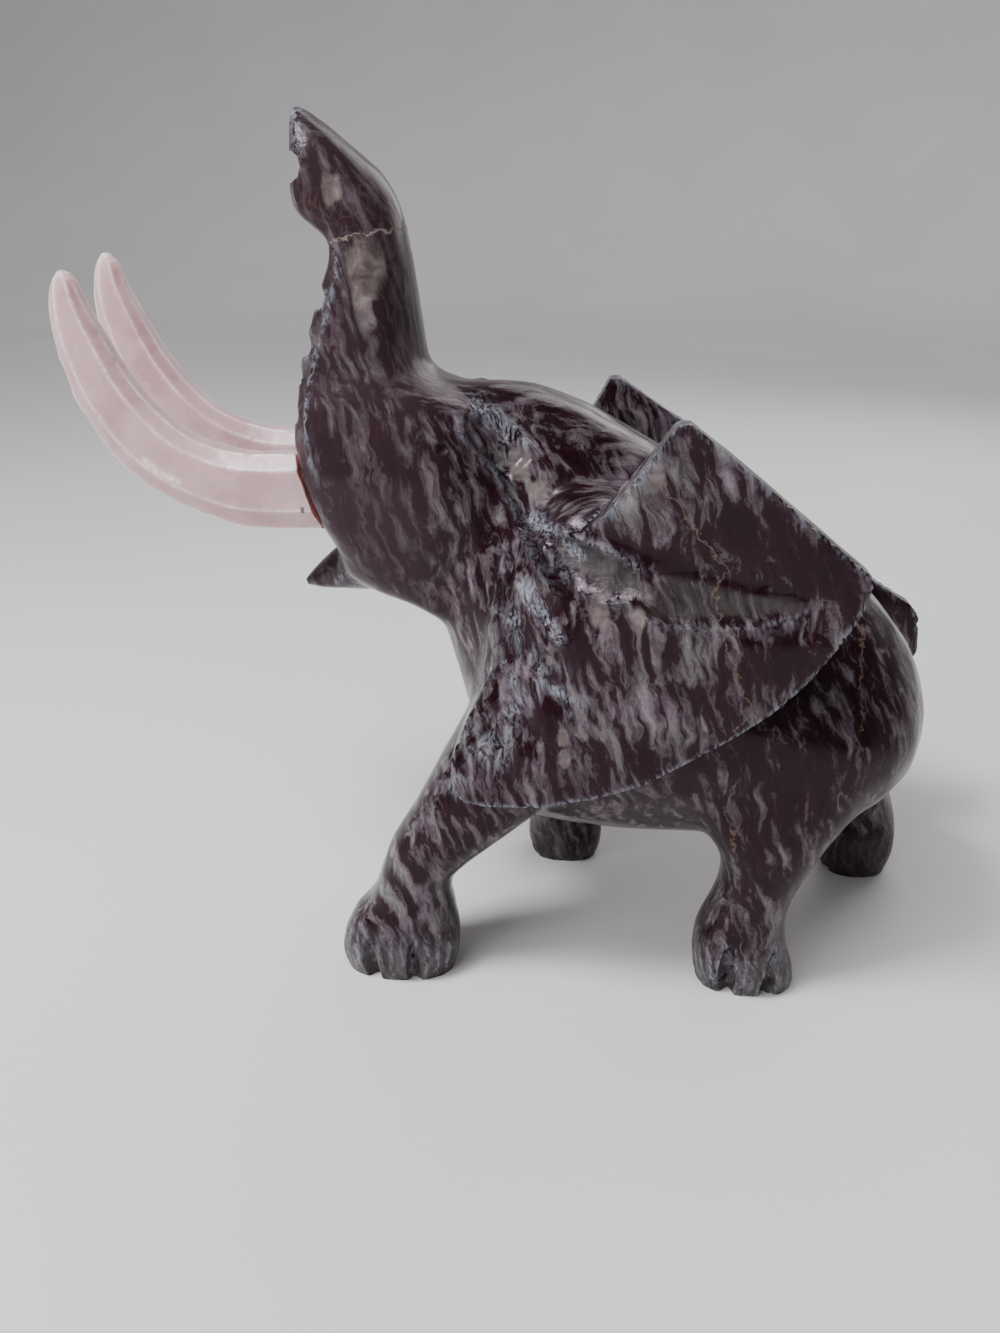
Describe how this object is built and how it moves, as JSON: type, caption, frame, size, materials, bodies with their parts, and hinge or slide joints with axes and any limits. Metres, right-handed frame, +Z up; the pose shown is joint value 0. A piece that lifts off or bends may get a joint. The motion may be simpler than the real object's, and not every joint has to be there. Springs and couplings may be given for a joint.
{
  "type": "elephant sculpture",
  "caption": "Carved marble elephant walking with its trunk raised and its ears spread, with upswept white onyx tusks glued to the face.",
  "frame": {"origin": "on the floor, under the middle of the figure's outer box", "axes": "+Z up; the elephant looks toward -X; its left side, the side in the picture, is toward -Y"},
  "size_m": [0.2788, 0.1172, 0.2601],
  "materials": {
    "banded_marble": "polished dark marble with grey and plum bands, tool marks left on the ears and toes",
    "white_onyx": "satin white onyx, slightly translucent, with cut bevels"
  },
  "bodies": {
    "root": {"stone_elephant": "banded_marble", "tusk_left": "white_onyx", "tusk_right": "white_onyx"}
  },
  "joints": []
}
